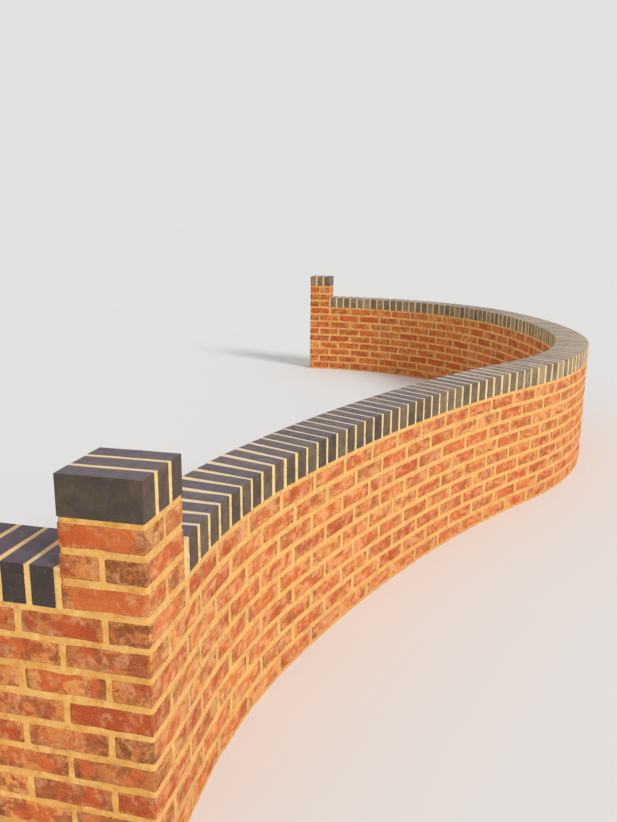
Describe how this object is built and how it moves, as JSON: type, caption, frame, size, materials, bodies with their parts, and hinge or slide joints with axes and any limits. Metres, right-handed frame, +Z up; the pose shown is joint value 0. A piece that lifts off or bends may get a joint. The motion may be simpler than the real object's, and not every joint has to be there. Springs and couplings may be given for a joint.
{
  "type": "brick garden wall",
  "caption": "Low brick garden wall that curves round a terrace, with square piers, a straight return and a blue brick-on-edge coping.",
  "frame": {"origin": "centre of the corner pier, on the underside of the wall's lowest bed joint", "axes": "+Z up, +Y from the corner pier along the house side of the terrace towards the far pier, +X out to the garden, the straight return runs along -X"},
  "size_m": [3.6005, 7.1307, 1.0125],
  "materials": {
    "red_brickwork": "rough red multi stock brick in wide yellow mortar joints",
    "blue_brickwork": "satin blue-grey engineering brick in yellow mortar joints"
  },
  "bodies": {
    "root": {"corner_pier_shaft": "red_brickwork", "far_pier_shaft": "red_brickwork", "end_pier_shaft": "red_brickwork", "return_wall": "red_brickwork", "curved_wall_bay_1": "red_brickwork", "curved_wall_bay_2": "red_brickwork", "curved_wall_bay_3": "red_brickwork", "curved_wall_bay_4": "red_brickwork", "curved_wall_bay_5": "red_brickwork", "curved_wall_bay_6": "red_brickwork", "curved_wall_bay_7": "red_brickwork", "curved_wall_bay_8": "red_brickwork", "curved_wall_bay_9": "red_brickwork", "curved_wall_bay_10": "red_brickwork", "curved_wall_bay_11": "red_brickwork", "curved_wall_bay_12": "red_brickwork", "curved_wall_bay_13": "red_brickwork", "curved_wall_bay_14": "red_brickwork", "corner_pier_cap": "blue_brickwork", "far_pier_cap": "blue_brickwork", "end_pier_cap": "blue_brickwork", "return_coping": "blue_brickwork", "curved_coping_bay_1": "blue_brickwork", "curved_coping_bay_2": "blue_brickwork", "curved_coping_bay_3": "blue_brickwork", "curved_coping_bay_4": "blue_brickwork", "curved_coping_bay_5": "blue_brickwork", "curved_coping_bay_6": "blue_brickwork", "curved_coping_bay_7": "blue_brickwork", "curved_coping_bay_8": "blue_brickwork", "curved_coping_bay_9": "blue_brickwork", "curved_coping_bay_10": "blue_brickwork", "curved_coping_bay_11": "blue_brickwork", "curved_coping_bay_12": "blue_brickwork", "curved_coping_bay_13": "blue_brickwork", "curved_coping_bay_14": "blue_brickwork"}
  },
  "joints": []
}
